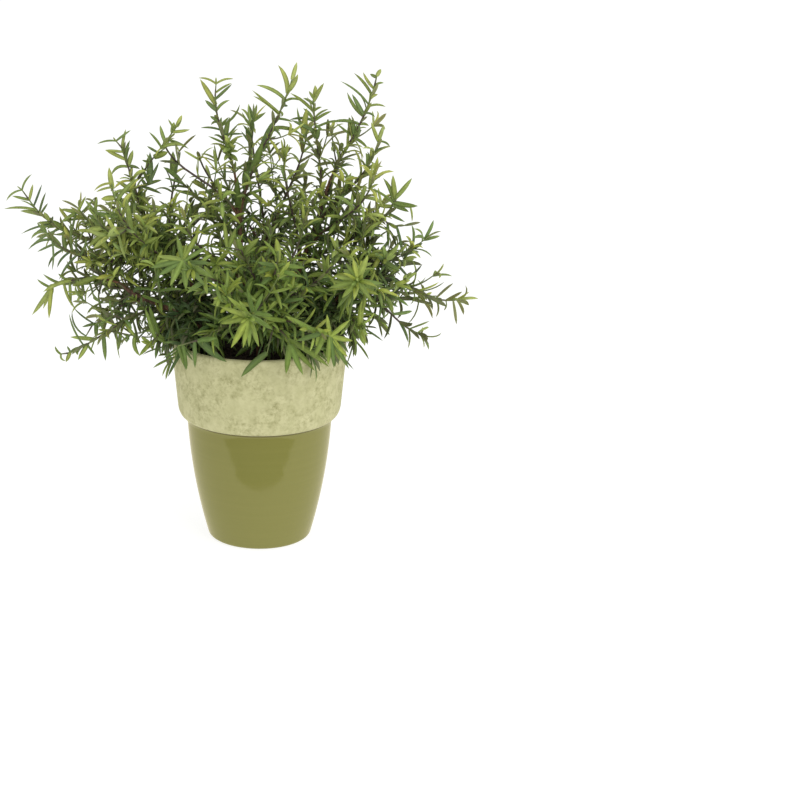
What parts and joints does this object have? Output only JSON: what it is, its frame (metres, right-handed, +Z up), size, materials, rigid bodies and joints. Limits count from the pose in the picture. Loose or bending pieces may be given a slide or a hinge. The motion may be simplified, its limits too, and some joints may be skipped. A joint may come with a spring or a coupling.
{
  "type": "potted rosemary plant",
  "caption": "Bushy rosemary plant with woody stems and slim needle-leaved shoots, growing in a tapered glazed pot with a thick mottled collar.",
  "frame": {"origin": "centre of the pot's flat base", "axes": "+Z up along the pot's axis; -Y towards the front, +X to the right seen from the front"},
  "size_m": [0.3426, 0.247, 0.3578],
  "materials": {
    "glazed_pot": "gloss olive glaze below a matte, mottled pale green collar",
    "soil": "dark crumbly potting mix",
    "wood": "rough reddish-brown bark",
    "foliage": "satin leaf, yellower at the young tips"
  },
  "bodies": {
    "root": {"pot": "glazed_pot", "soil": "soil", "stem_left_low": "wood", "stem_left_high": "wood", "stem_centre_left": "wood", "stem_centre_right": "wood", "stem_right": "wood", "stem_front": "wood", "stem_back": "wood", "shoot_far_left": "foliage", "shoot_left_upper": "foliage", "shoot_left_tuft": "foliage", "shoot_left_inner_tuft": "foliage", "shoot_upper_left": "foliage", "shoot_upper_left_inner": "foliage", "shoot_front_left_light": "foliage", "shoot_left_low": "foliage", "shoot_left_lowest": "foliage", "shoot_left_low_arc": "foliage", "shoot_left_rim": "foliage", "shoot_tall_left": "foliage", "shoot_tall_right": "foliage", "shoot_tall_middle": "foliage", "shoot_cross_left": "foliage", "shoot_left_heart": "foliage", "shoot_third_tall": "foliage", "shoot_middle_light": "foliage", "shoot_right_tall": "foliage", "shoot_right_second": "foliage", "shoot_right_third": "foliage", "shoot_right_upper": "foliage", "shoot_right_middle": "foliage", "shoot_right_rosette": "foliage", "shoot_right_far": "foliage", "shoot_right_low": "foliage", "shoot_right_rim": "foliage", "shoot_front_rosette": "foliage", "shoot_left_rosette": "foliage", "shoot_right_star": "foliage", "shoot_front_upright": "foliage", "shoot_rim_right": "foliage", "shoot_rim_left": "foliage", "shoot_front_left_pair": "foliage", "shoot_front_crown": "foliage", "shoot_right_heart": "foliage", "shoot_right_heart_low": "foliage", "shoot_back_1": "foliage", "shoot_back_2": "foliage", "shoot_back_3": "foliage", "shoot_back_4": "foliage", "shoot_back_5": "foliage", "shoot_back_6": "foliage", "shoot_back_7": "foliage", "shoot_back_8": "foliage", "shoot_back_9": "foliage", "shoot_back_10": "foliage", "shoot_back_11": "foliage", "shoot_back_12": "foliage", "shoot_back_13": "foliage", "shoot_back_14": "foliage"}
  },
  "joints": []
}
